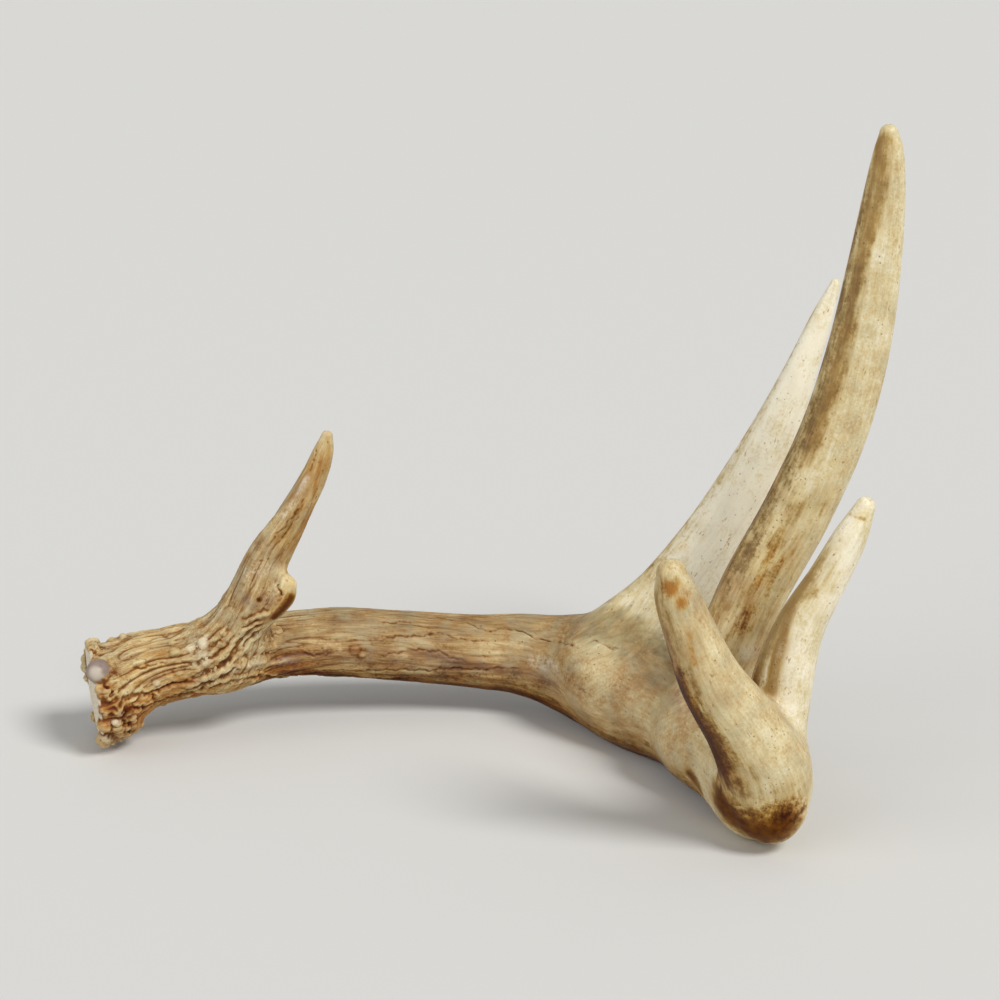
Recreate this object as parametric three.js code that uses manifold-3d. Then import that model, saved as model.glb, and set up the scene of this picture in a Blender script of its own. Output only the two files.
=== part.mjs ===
// A shed antler of a white-tailed deer. It lies on its burr, its elbow and its bend, tines up.
// Millimetres, +Z up. The origin is on the resting plane, under the middle of the antler's box.
// The antler grew as one bone. It is split at its forks, with a hairline gap at each split.

import * as THREE from "three";
import { mergeVertices } from "three/addons/utils/BufferGeometryUtils.js";
import Module from "manifold-3d";

const wasm = await Module();
wasm.setup();

// Driving dimensions.
const gap = 0.3; // clearance between two pieces at a fork
const ringStep = 7; // distance between two sections along a branch
const shortStep = 0.15; // a split leaves out a section that is closer to it than this share
const beamSides = 22; // corners of a section of the main beam
const tineSides = 16; // corners of a section of a tine
const domeRings = 3; // sections that round off a tip
const boxCentre = new THREE.Vector3(-7, -52, 0); // middle of the box, in the stations' own frame

// Where the main beam is split, as places in its list of stations.
const browForkEnd = 7.35;
const secondForkStart = 11.75;
const splitShare = gap / 27; // the gap, as a share of the way between two stations there

// The burr's rim swells and dips around the seal.
const rimLobes = [
  { count: 7, height: 1.3, turn: -1.4 },
  { count: 11, height: 0.8, turn: -1.1 },
];
const rimReach = 3; // the rim fades out by this station

// A station is x, y, z of a section's centre, then its full width along its first and second axis.
// The burr comes first, then the lower beam, the elbow and the bend that lies on the ground.
const beamStations = [
  [-170.5, -15.2, 25, 46, 43],
  [-165.5, -13.9, 25.2, 46, 43],
  [-161, -12.4, 27.2, 44.5, 42],
  [-155.5, -10.2, 31, 38, 37.5],
  [-149, -7, 32.2, 34.5, 34.5],
  [-137, -1, 32.5, 31.5, 32],
  [-122, 5, 33.4, 29.5, 32],
  [-98, 14, 34.5, 28.5, 31],
  [-72, 20, 34, 30, 28],
  [-42, 25, 30, 31, 28],
  [-11, 26, 27.3, 32.2, 28],
  [15, 23, 26.2, 37.5, 28],
  [36, 14, 24, 45, 28],
  [57, -7, 19.8, 41, 28],
  [76, -37, 21, 40, 27.5],
  [93, -74, 21, 39, 29],
  [105, -103, 18.3, 38, 34],
  [108, -114, 18.5, 30, 29],
];
// The beam's own point, which curves forward and up from the bend.
const pointStations = [
  [107, -104, 24, 36, 30],
  [104.5, -115, 37, 36, 32],
  [96.5, -121, 54, 30.5, 29],
  [82.5, -127, 77, 24, 26],
  [73.5, -131, 99, 19.5, 22],
  [67.5, -135, 116, 16, 17],
  [65.8, -136.6, 124, 11.5, 12],
];
const browStations = [
  [-118, -2, 36, 28, 22],
  [-111, -4, 50, 24, 20],
  [-103, -6, 65, 21, 18],
  [-95, -8, 84, 18, 15],
  [-84, -9, 103, 13.5, 12.5],
  [-75, -9, 120, 10.8, 10.5],
  [-71, -9, 131, 8.2, 8.2],
  [-69.6, -9, 137, 5, 5],
];
const spurStations = [
  [-103, -8, 56, 12, 12],
  [-94, -10, 62, 11.5, 11.5],
  [-88.5, -12, 68, 9.5, 9.5],
  [-86.3, -12.8, 73, 6.5, 6.5],
];
const secondStations = [
  [56, -8, 28, 44, 24],
  [64.5, -2, 46, 39, 21],
  [78.5, 4, 66, 31, 18.5],
  [94.5, 8, 88, 28, 17],
  [107, 10, 110, 25, 16],
  [118, 12, 134, 19.5, 15],
  [128, 14, 159, 14, 12],
  [136, 16, 181, 9, 8.5],
  [141.4, 17.8, 195, 4.2, 4.2],
];
const thirdStations = [
  [82, -58, 24, 28, 24],
  [87.5, -56, 42, 28, 22],
  [95, -54, 60, 28, 20.5],
  [105, -51, 85, 28, 19],
  [122, -48, 118, 28, 18],
  [135.5, -46, 151, 27, 17.5],
  [144, -44, 184, 25, 16.5],
  [149, -42, 216, 21.5, 15],
  [152, -40, 244, 17, 13],
  [153, -40, 264, 11.5, 10],
  [152.8, -40, 270.5, 7.5, 7],
];
const fourthStations = [
  [108, -104, 30, 24, 22],
  [110.2, -102, 48, 25, 21],
  [113.1, -99, 66, 24, 19.5],
  [119, -96, 86, 19.6, 17.5],
  [129.5, -94, 106, 15.6, 15],
  [138, -92, 123, 13, 12.8],
  [143.2, -90.4, 134.5, 8, 8],
];

// Growth of the burr's rim over a plain ellipse, at an angle round the beam.
function rimHeight(angle, place) {
  const fade = THREE.MathUtils.clamp(1 - place / rimReach, 0, 1);
  const heights = rimLobes.map(({ count, height, turn }) => height * Math.sin(count * angle + turn));
  return fade * heights.reduce((sum, height) => sum + height, 0);
}

// A branch follows a smooth curve through its stations, and its sections are ellipses square to it.
// A place is a number along the list of stations: 2.5 is halfway between the third and the fourth.
class Branch {
  constructor(stations, firstAxis, { sides = tineSides, extraRadius = () => 0 } = {}) {
    this.widths = stations.map(([, , , first, second]) => new THREE.Vector2(first, second));
    this.last = stations.length - 1;
    this.sides = sides;
    this.extraRadius = extraRadius;
    const points = stations.map(([x, y, z]) => new THREE.Vector3(x, y, z).sub(boxCentre));
    this.path = new THREE.CatmullRomCurve3(points, false, "centripetal");
    const tangent = this.path.getTangent(0);
    const axis = firstAxis.clone().projectOnPlane(tangent).normalize();
    this.frames = [{ place: 0, tangent, axis }];
    for (let index = 0; index < this.last; index += 1) {
      const steps = Math.max(1, Math.round(points[index].distanceTo(points[index + 1]) / ringStep));
      for (let step = 1; step <= steps; step += 1) {
        this.frames.push(this.frameAt(index + step / steps));
      }
    }
  }

  // The nearest frame before a place, turned by the bend of the curve between the two.
  frameAt(place) {
    const before = this.frames.findLast((frame) => frame.place <= place);
    const tangent = this.path.getTangent(place / this.last);
    const bend = new THREE.Quaternion().setFromUnitVectors(before.tangent, tangent);
    return { place, tangent, axis: before.axis.clone().applyQuaternion(bend) };
  }

  sectionAt(place) {
    const index = Math.min(Math.floor(place), this.last - 1);
    const widths = this.widths[index].clone().lerp(this.widths[index + 1], place - index);
    return { ...this.frameAt(place), centre: this.path.getPoint(place / this.last), widths };
  }

  // Ever smaller sections that round off the branch's last one.
  domeOn(section) {
    const reach = Math.min(section.widths.x, section.widths.y) / 2;
    return Array.from({ length: domeRings }, (_, ring) => {
      const angle = ((ring + 1) / (domeRings + 1)) * (Math.PI / 2);
      const centre = section.centre.clone().addScaledVector(section.tangent, reach * Math.sin(angle));
      return { ...section, centre, widths: section.widths.clone().multiplyScalar(Math.cos(angle)) };
    });
  }

  // A closed solid from one place to another. It may be grown all round, to cut a neighbour with.
  geometry({ start = 0, end = this.last, grown = 0 } = {}) {
    const inner = this.frames.map((frame) => frame.place);
    const places = inner.filter((place) => place > start + shortStep && place < end - shortStep);
    const sections = [start, ...places, end].map((place) => this.sectionAt(place));
    const { centre: endCentre, tangent: endTangent, widths: endWidths } = sections.at(-1);
    const tip = endCentre.clone();
    if (end === this.last) {
      sections.push(...this.domeOn(sections.at(-1)));
      tip.addScaledVector(endTangent, Math.min(endWidths.x, endWidths.y) / 2 + grown);
    }
    const corners = sections.flatMap((section) => this.cornersOf(section, grown));
    return closedSkin(corners, this.sides, sections[0].centre, tip);
  }

  cornersOf({ place, centre, tangent, axis, widths }, grown) {
    const second = new THREE.Vector3().crossVectors(tangent, axis);
    return Array.from({ length: this.sides }, (_, side) => {
      const angle = (side / this.sides) * Math.PI * 2;
      const extra = grown + this.extraRadius(angle, place);
      return centre
        .clone()
        .addScaledVector(axis, (widths.x / 2 + extra) * Math.cos(angle))
        .addScaledVector(second, (widths.y / 2 + extra) * Math.sin(angle));
    });
  }
}

// Joins rings of corners into a skin and closes it with a fan at each end.
function closedSkin(corners, sides, startCentre, tip) {
  const startIndex = corners.length;
  const tipIndex = startIndex + 1;
  const lastRow = startIndex - sides;
  const faces = [];
  for (let side = 0; side < sides; side += 1) {
    const next = (side + 1) % sides;
    faces.push(startIndex, next, side);
    for (let row = 0; row < lastRow; row += sides) {
      const above = row + sides;
      faces.push(row + side, row + next, above + side);
      faces.push(row + next, above + next, above + side);
    }
    faces.push(lastRow + side, lastRow + next, tipIndex);
  }
  const geometry = new THREE.BufferGeometry().setFromPoints([...corners, startCentre, tip]);
  geometry.setIndex(faces);
  return geometry;
}

function toSolid(geometry) {
  geometry.deleteAttribute("normal");
  geometry.deleteAttribute("uv");
  const merged = mergeVertices(geometry);
  const vertProperties = merged.attributes.position.array;
  const triVerts = new Uint32Array(merged.index.array);
  return new wasm.Manifold(new wasm.Mesh({ numProp: 3, vertProperties, triVerts }));
}

function toGeometry(solid) {
  const mesh = solid.getMesh();
  const geometry = new THREE.BufferGeometry();
  geometry.setAttribute("position", new THREE.BufferAttribute(mesh.vertProperties, 3));
  geometry.setIndex(new THREE.BufferAttribute(mesh.triVerts, 1));
  geometry.computeVertexNormals();
  return geometry;
}

// What is left of a branch once its neighbours are cut away: its largest body.
function cutBy(solid, ...neighbours) {
  const rest = neighbours.reduce((left, neighbour) => left.subtract(neighbour), solid);
  return rest.decompose().reduce((best, body) => (body.volume() > best.volume() ? body : best));
}

// The ground, under the resting plane. It trims the flats that the antler lies on.
function groundBlock() {
  const side = 600;
  const depth = 50;
  const block = new THREE.BoxGeometry(side, side, depth);
  block.translate(0, 0, -depth / 2);
  return toSolid(block);
}

const up = new THREE.Vector3(0, 0, 1);
const across = new THREE.Vector3(1, 0, 0);
const beam = new Branch(beamStations, up, { sides: beamSides, extraRadius: rimHeight });
const point = new Branch(pointStations, across, { sides: beamSides });
const brow = new Branch(browStations, across);
const spur = new Branch(spurStations, across);
const second = new Branch(secondStations, across);
const third = new Branch(thirdStations, across);
const fourth = new Branch(fourthStations, across);

const ground = groundBlock();
const beamGrown = toSolid(beam.geometry({ grown: gap }));
const pointGrown = toSolid(point.geometry({ grown: gap }));
const browGrown = toSolid(brow.geometry({ grown: gap }));

const solids = {
  base_beam: toSolid(beam.geometry({ end: browForkEnd })).subtract(ground),
  middle_beam: toSolid(beam.geometry({ start: browForkEnd + splitShare, end: secondForkStart })),
  upper_beam: toSolid(beam.geometry({ start: secondForkStart + splitShare })).subtract(ground),
  beam_point: cutBy(toSolid(point.geometry()), beamGrown),
  brow_tine: cutBy(toSolid(brow.geometry()), beamGrown),
  brow_spur: cutBy(toSolid(spur.geometry()), browGrown, beamGrown),
  second_tine: cutBy(toSolid(second.geometry()), beamGrown),
  third_tine: cutBy(toSolid(third.geometry()), beamGrown),
  fourth_tine: cutBy(toSolid(fourth.geometry()), beamGrown, pointGrown),
};

// Antler bone is darkest and roughest by the burr and polished pale towards the tips.
const finishes = {
  base_beam: { color: "#a27444", roughness: 0.75 },
  middle_beam: { color: "#a08b6d", roughness: 0.6 },
  upper_beam: { color: "#9c875c", roughness: 0.5 },
  beam_point: { color: "#c3b384", roughness: 0.42 },
  brow_tine: { color: "#8d6b3e", roughness: 0.62 },
  brow_spur: { color: "#9a7546", roughness: 0.55 },
  second_tine: { color: "#dccfa8", roughness: 0.42 },
  third_tine: { color: "#b9a67c", roughness: 0.42 },
  fourth_tine: { color: "#d2c49b", roughness: 0.4 },
};

const antler = new THREE.Group();
for (const [name, solid] of Object.entries(solids)) {
  const material = new THREE.MeshStandardMaterial({ ...finishes[name], metalness: 0 });
  const mesh = new THREE.Mesh(toGeometry(solid), material);
  mesh.name = name;
  antler.add(mesh);
}

export default antler;
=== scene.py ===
import math

import bpy
import numpy as np
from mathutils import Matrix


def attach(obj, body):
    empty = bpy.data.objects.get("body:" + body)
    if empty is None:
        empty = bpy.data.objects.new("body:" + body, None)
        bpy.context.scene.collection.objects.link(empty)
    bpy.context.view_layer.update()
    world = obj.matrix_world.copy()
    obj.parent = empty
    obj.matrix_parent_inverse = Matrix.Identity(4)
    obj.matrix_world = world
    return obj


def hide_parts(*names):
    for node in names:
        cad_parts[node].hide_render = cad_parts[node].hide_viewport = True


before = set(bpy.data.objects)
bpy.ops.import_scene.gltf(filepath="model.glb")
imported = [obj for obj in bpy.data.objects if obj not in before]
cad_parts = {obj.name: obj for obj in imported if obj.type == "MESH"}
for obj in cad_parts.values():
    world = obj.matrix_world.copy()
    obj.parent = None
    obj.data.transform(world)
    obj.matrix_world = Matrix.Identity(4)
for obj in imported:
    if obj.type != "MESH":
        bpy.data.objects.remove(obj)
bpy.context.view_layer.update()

mm = 0.001
boxCentre = np.array([-7.0, -52.0, 0.0])  # the stations' own frame is moved by this, as in the part

# A shed whitetail antler, one bone. Stations run along each branch:
# x, y, z of the middle, then the full width along the first and the second axis, in mm.
# fillet is how wide a branch melts into what it grows from, rough is how ridged it is at a distance in mm,
# tone runs from brown 0 to ivory 1, and a stain is a colour, an angle round the branch and its spread,
# a first and a last distance, and an amount.

# Some stains lie where shade falls, under the beam, at the bend and on the inner sides of the point and the
# fourth tine, and are painted shade as well as stain.
mainBeam = {
    "axis": (0, 0, 1),
    "stations": [
        (-170.5, -15.2, 25.2, 43, 40), (-165.5, -13.9, 25.7, 43.2, 40.5), (-161.7, -12.7, 27.2, 41, 39),
        (-158, -11.3, 28.9, 36.8, 36), (-152, -8.5, 31, 34, 34), (-137, -1, 32.5, 31.2, 32),
        (-122, 5, 33.4, 29.2, 32), (-98, 14, 34.5, 28, 31), (-72, 20, 34, 30, 28), (-42, 25, 30, 31, 28),
        (-11, 26, 27.3, 32.2, 28), (15, 23, 26.2, 37.5, 28), (36, 14, 24, 45, 28), (57, -7, 19.8, 41, 28),
        (76, -37, 21, 40, 27.5), (93, -74, 21, 39, 29), (105, -103, 18.3, 38, 34), (108, -114, 18.5, 30, 29),
    ],
    "rough": [(0, 1.0), (70, 0.9), (100, 0.5), (140, 0.34), (200, 0.22), (240, 0.1), (360, 0.05)],
    "tone": [(0, 0.54), (50, 0.5), (90, 0.42), (180, 0.4), (240, 0.43), (300, 0.56), (350, 0.7)],
    "stainsAndPaintedLight": [
        # the dark bands round 180 and 150, underneath, are painted shade on the underside
        ("dark", 180, 48, 60, 345, 0.85), ("brown", 160, 60, 50, 330, 0.42), ("mauve", 102, 24, 80, 230, 0.5),
        ("brown", 280, 60, 40, 330, 0.4), ("rust", 125, 50, 0, 110, 0.75), ("rust", 105, 90, -10, 14, 0.95),
        ("rust", 70, 80, 0, 100, 0.35), ("rust", 120, 40, 70, 140, 0.2), ("olive", 20, 50, 90, 330, 0.45),
        ("olive", 70, 70, 240, 350, 0.25), ("dark", 150, 36, 230, 345, 0.3),
    ],
}
beamPoint = {
    "axis": (1, 0, 0),
    "fillet": 7.0,
    "stations": [
        (107, -104, 24, 36, 30), (104.5, -115, 37, 36, 32), (96.5, -121, 54, 30.5, 29),
        (82.5, -127, 77, 24, 26), (73.5, -131, 99, 19.5, 22), (67.5, -135, 116, 16, 17),
        (65.8, -136.6, 124, 11.5, 12),
    ],
    "rough": [(0, 0.06), (60, 0.05), (110, 0.03)],
    "tone": [(0, 0.7), (50, 0.65), (110, 0.63)],
    "stainsAndPaintedLight": [
        # the brown and dark on the left side, and the dark underneath at the bend, are stain with painted
        # shade
        ("brown", 216, 50, 5, 122, 0.75), ("dark", 207, 42, 20, 86, 1.0), ("mauve", 232, 26, 60, 100, 0.4),
        ("brown", 280, 60, 20, 110, 0.2), ("dark", 180, 36, 0, 24, 0.8),
    ],
}
browTine = {
    "axis": (1, 0, 0),
    "fillet": 16.0,
    "stations": [
        (-118, -2, 36, 28, 22), (-111, -4, 50, 24, 20), (-103, -6, 65, 21, 18), (-95, -8, 84, 18, 15),
        (-84, -9, 103, 13.5, 12.5), (-75, -9, 120, 10.8, 10.5), (-71, -9, 131, 8.2, 8.2),
        (-69.6, -9, 137, 5, 5),
    ],
    "rough": [(0, 0.8), (30, 0.62), (60, 0.4), (95, 0.22), (115, 0.05)],
    "tone": [(0, 0.48), (30, 0.46), (70, 0.5), (100, 0.5), (115, 0.72)],
    "stainsAndPaintedLight": [("rust", 270, 110, 80, 128, 0.5), ("rust", 300, 40, 30, 100, 0.4)],
}
browSpur = {
    "axis": (1, 0, 0),
    "fillet": 7.0,
    "stations": [
        (-103, -8, 56, 12, 12), (-94, -10, 62, 11.5, 11.5), (-88.5, -12, 68, 9.5, 9.5),
        (-86.3, -12.8, 73, 6.5, 6.5),
    ],
    "rough": [(0, 0.5), (15, 0.3), (24, 0.05)],
    "tone": [(0, 0.36), (16, 0.46), (25, 0.72)],
    "stainsAndPaintedLight": [("rust", 270, 120, 5, 40, 0.35)],
}
secondTine = {
    "axis": (1, 0, 0),
    "fillet": 31.0,
    "stations": [
        (56, -8, 28, 44, 24), (64.5, -2, 46, 39, 21), (78.5, 4, 66, 31, 18.5), (94.5, 8, 88, 28, 17),
        (107, 10, 110, 25, 16), (118, 12, 134, 19.5, 15), (128, 14, 159, 14, 12), (136, 16, 181, 9, 8.5),
        (141.4, 17.8, 195, 4.2, 4.2),
    ],
    "rough": [(0, 0.1), (60, 0.05), (190, 0.02)],
    "tone": [(0, 0.54), (30, 0.78), (60, 0.94), (120, 1.0), (193, 1.0)],
    "stainsAndPaintedLight": [("brown", 185, 30, 30, 185, 0.5), ("brown", 250, 70, 0, 60, 0.15)],
}
thirdTine = {
    "axis": (1, 0, 0),
    "fillet": 15.0,
    "stations": [
        (82, -58, 24, 28, 24), (87.5, -56, 42, 28, 22), (95, -54, 60, 28, 20.5), (105, -51, 85, 28, 19),
        (122, -48, 118, 28, 18), (135.5, -46, 151, 27, 17.5), (144, -44, 184, 25, 16.5),
        (149, -42, 216, 21.5, 15), (152, -40, 244, 17, 13), (153, -40, 264, 11.5, 10),
        (152.8, -40, 270.5, 7.5, 7),
    ],
    "rough": [(0, 0.1), (80, 0.06), (260, 0.02)],
    "tone": [(0, 0.58), (60, 0.62), (120, 0.7), (200, 0.74), (262, 0.7)],
    "stainsAndPaintedLight": [
        ("brown", 220, 23, 120, 264, 0.88), ("brown", 185, 46, 40, 262, 0.6),
        ("olive", 200, 40, 60, 240, 0.5), ("brown", 275, 80, 15, 125, 0.42), ("rust", 265, 60, 40, 110, 0.3),
    ],
}
fourthTine = {
    "axis": (1, 0, 0),
    "fillet": 8.0,
    "stations": [
        (108, -104, 30, 24, 22), (110.2, -102, 48, 25, 21), (113.1, -99, 66, 24, 19.5),
        (119, -96, 86, 19.6, 17.5), (129.5, -94, 106, 15.6, 15), (138, -92, 123, 13, 12.8),
        (143.2, -90.4, 134.5, 8, 8),
    ],
    "rough": [(0, 0.05), (110, 0.02)],
    "tone": [(0, 0.74), (50, 0.88), (110, 0.84)],
    "stainsAndPaintedLight": [
        # the brown and dark on the left side, low down beside the third tine, are stain with painted shade
        ("brown", 195, 32, 15, 95, 0.9), ("dark", 190, 30, 15, 48, 0.6), ("brown", 270, 60, 60, 112, 0.28),
    ],
}
branches = {
    "beam": mainBeam, "point": beamPoint, "brow": browTine, "spur": browSpur,
    "second": secondTine, "third": thirdTine, "fourth": fourthTine,
}

burrRim = {
    "seed": 11,
    "rows": [(0.8, 29, 1.9), (4.6, 26, 1.9), (8.4, 22, 1.5)],  # distance, count, radius
    "jitter": 0.42,  # how far a pearl strays round the rim, in shares of the room that it has
    "stray": 1.2,  # and along the beam
    "nearest": 0.9,
    "sizes": (0.7, 1.3),  # its radius and how far it stands out, in shares of the row's radius and its own
    "outs": (-0.5, 0.1),
    "lowGrowth": 0.6,  # the pearls are this much larger underneath
    "melt": 1.0,  # how softly pearls melt into the beam
    "pearlMelt": 0.22,  # and into each other
    "bigPearl": {"angle": 43, "along": 2.0, "radius": 4.9, "out": 19.8, "melt": 0.7},
    "sealBulge": 200.0,  # the seal is a cap of a ball this large
    "sealOut": 1.0,  # and stands this far out
    "sealEdge": 1.6,
    "middle": 8,  # the row of the beam's line in the middle of the pearls
    "reach": 46.0,
}
meshDetail = {
    "lineStep": 1.2, "tubeSides": 20, "voxel": 1.02, "relaxRounds": 4, "projectRounds": 3, "longestStep": 1.5,
    "foldRounds": 6, "bareFold": 0.35, "carvedFold": 0.3,
}
browForkEnd = 7.35  # where the beam is split, as places in its stations, as in the part
secondForkStart = 11.75

# The grain of each branch starts along the beam and turns into the branch, so ridges sweep round the forks.
grainTurns = {  # how many beam stations come first, a turning point, and the branch's first station to use
    "beam": (18, [], 18),
    "brow": (6, [(-125, -1, 35)], 1),
    "spur": (6, [(-125, -1, 35), (-111, -5, 50)], 1),
    "second": (12, [(40, 10, 27)], 1),
    "third": (14, [(73, -36, 24)], 1),
    "fourth": (16, [], 1),
    "point": (17, [], 1),
}

view = {  # the camera: degrees and mm, but the focal length is in points of its square picture
    "elevation": 19.0, "distance": 1200.0, "focal": 2857.0, "picture": 1000, "target": (2.0, 0.0, 106.0),
}
# Marks set one by one, with widths and heights in mm. A place is x, y in the camera's picture.
rimLobes = [  # radius and place
    (2.6, (103, 740)), (2.5, (113, 744)), (2.4, (121, 740)), (2.3, (132, 739)), (2.1, (139, 733)),
    (1.8, (141, 724)), (1.9, (115, 729)), (1.7, (127, 728)), (1.7, (107, 728)), (1.5, (134, 720)),
    (1.6, (90, 648)), (2.0, (97, 641)), (1.9, (110, 639)), (1.7, (123, 637)), (2.6, (83, 659)),
    (2.9, (82, 668)), (2.4, (84, 678)),
]
carvedLines = [  # half width, height (below 0 a groove) and way of each line cut or raised
    (0.9, -1.3, [(118, 712), (121, 705), (124, 700), (130, 697), (138, 695), (147, 695), (152, 694),
     (154, 699), (158, 702)]),
    (1.0, -1.5, [(112, 709), (118, 711), (128, 710), (138, 708), (148, 708)]),
    (0.9, -1.4, [(150, 706), (158, 703), (166, 701), (172, 699), (180, 697), (190, 693), (200, 690),
     (207, 686)]),
    (0.8, -1.1, [(152, 693), (160, 690), (166, 687), (171, 684), (178, 684)]),
    (0.9, -1.3, [(165, 700), (175, 696), (185, 692), (196, 687), (205, 684), (214, 682), (224, 677),
     (232, 671), (244, 668)]),
    (0.9, -1.0, [(196, 692), (206, 690), (216, 688), (226, 684), (238, 681), (250, 679), (262, 677),
     (280, 677), (300, 677), (340, 677), (370, 678), (400, 679), (430, 680)]),
    (0.6, -0.9, [(132, 667), (138, 668), (146, 667), (155, 664), (163, 662), (170, 661)]),
    (1.0, -1.4, [(183, 682), (190, 679), (200, 675), (212, 671), (220, 667), (228, 660), (234, 650),
     (240, 641), (248, 633), (256, 628), (266, 624)]),
    (0.8, -1.0, [(225, 664), (233, 658), (240, 650), (248, 641), (256, 634), (263, 629)]),
    (0.8, -1.0, [(184, 670), (192, 664), (200, 661), (210, 658), (216, 655), (222, 650), (228, 643),
     (236, 634)]),
    (0.6, -0.7, [(213, 645), (218, 642), (224, 641)]),
    (0.7, -1.0, [(104, 684), (107, 690), (106, 695)]),
    (0.7, -1.0, [(112, 690), (110, 698), (112, 706)]),
    (0.7, -0.9, [(122, 716), (124, 724), (122, 732)]),
    (0.7, -0.9, [(128, 722), (130, 730), (133, 737)]),
    (0.6, -0.9, [(101, 736), (108, 737), (114, 733)]),
    (0.6, -0.9, [(99, 742), (106, 744), (113, 740)]),
    (0.5, -0.6, [(466, 621), (478, 627), (490, 631), (500, 629)]),
    (0.5, -0.7, [(503, 626), (522, 632), (535, 638), (545, 640), (560, 643), (572, 646), (584, 649)]),
    (0.5, -0.4, [(590, 641), (600, 643), (612, 648), (620, 650)]),
    (0.5, -0.4, [(365, 642), (380, 637), (400, 636), (420, 636), (440, 632), (455, 638), (470, 640),
     (485, 641), (505, 646)]),
    (0.7, -0.5, [(300, 673), (325, 671), (345, 671), (360, 671), (400, 670), (430, 671), (450, 669),
     (480, 670), (510, 668), (535, 671)]),
    (0.6, -0.6, [(303, 653), (312, 655), (322, 655), (332, 653)]),
    (0.6, -0.5, [(378, 657), (392, 654), (404, 652)]),
    (0.6, -0.5, [(410, 650), (425, 650), (440, 652), (450, 657), (460, 660), (468, 661)]),
    (0.6, -0.5, [(380, 622), (400, 621), (415, 622)]),
    (0.6, -0.5, [(425, 616), (440, 617), (455, 619)]),
    (0.4, -0.3, [(240, 558), (250, 561), (258, 561), (270, 559), (276, 560)]),
    (0.6, -0.45, [(268, 547), (275, 535), (284, 527), (292, 518), (300, 508), (308, 494)]),
    (0.5, -0.35, [(276, 548), (282, 538), (290, 528), (297, 518), (304, 506)]),
    (0.6, -0.5, [(309, 472), (313, 460), (317, 448)]),
    (0.8, -1.0, [(277, 583), (279, 590), (282, 597)]),
    (0.8, -0.7, [(240, 622), (250, 616), (262, 612), (272, 608)]),
    (0.8, -0.7, [(240, 630), (250, 624), (262, 620)]),
    (0.7, -0.6, [(246, 635), (256, 629), (266, 625)]),
    (2.0, 0.9, [(188, 690), (196, 684), (205, 680), (220, 673), (235, 668), (250, 665), (262, 663),
     (280, 663), (296, 660)]),
    (1.6, 0.7, [(118, 700), (124, 694), (134, 690), (146, 691)]),
    (1.5, 0.6, [(205, 690), (216, 684), (230, 680), (245, 676)]),
    (1.6, 0.8, [(222, 672), (232, 663), (240, 655), (248, 646), (256, 638), (264, 634)]),
    (1.4, 0.7, [(243, 625), (252, 619), (262, 615), (270, 613)]),
]
handPearls = [  # radius, height and place
    (2.7, 1.3, (203, 643)), (2.2, 1.0, (190, 648)), (2.5, 1.4, (175, 652)), (1.6, 0.8, (172, 641)),
    (1.9, 1.0, (141, 663)), (1.5, 0.8, (134, 662)), (1.5, 0.7, (216, 641)), (1.6, 0.7, (223, 633)),
    (1.7, 0.9, (157, 683)), (2.0, 0.7, (170, 676)), (2.2, 0.7, (179, 671)), (1.3, 0.6, (204, 665)),
    (1.3, 0.7, (165, 707)), (1.3, 0.7, (180, 702)), (1.3, 0.7, (188, 695)), (1.6, 0.8, (206, 690)),
    (1.7, 1.1, (115, 722)), (1.6, 0.9, (105, 716)), (2.6, 1.2, (106, 738)), (1.7, 1.1, (120, 744)),
    (1.9, 1.2, (130, 739)), (1.4, 0.9, (124, 733)), (2.3, 0.9, (355, 650)), (1.7, 0.7, (362, 655)),
    (1.3, 0.5, (340, 650)), (1.3, 0.5, (325, 648)),
]
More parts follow.
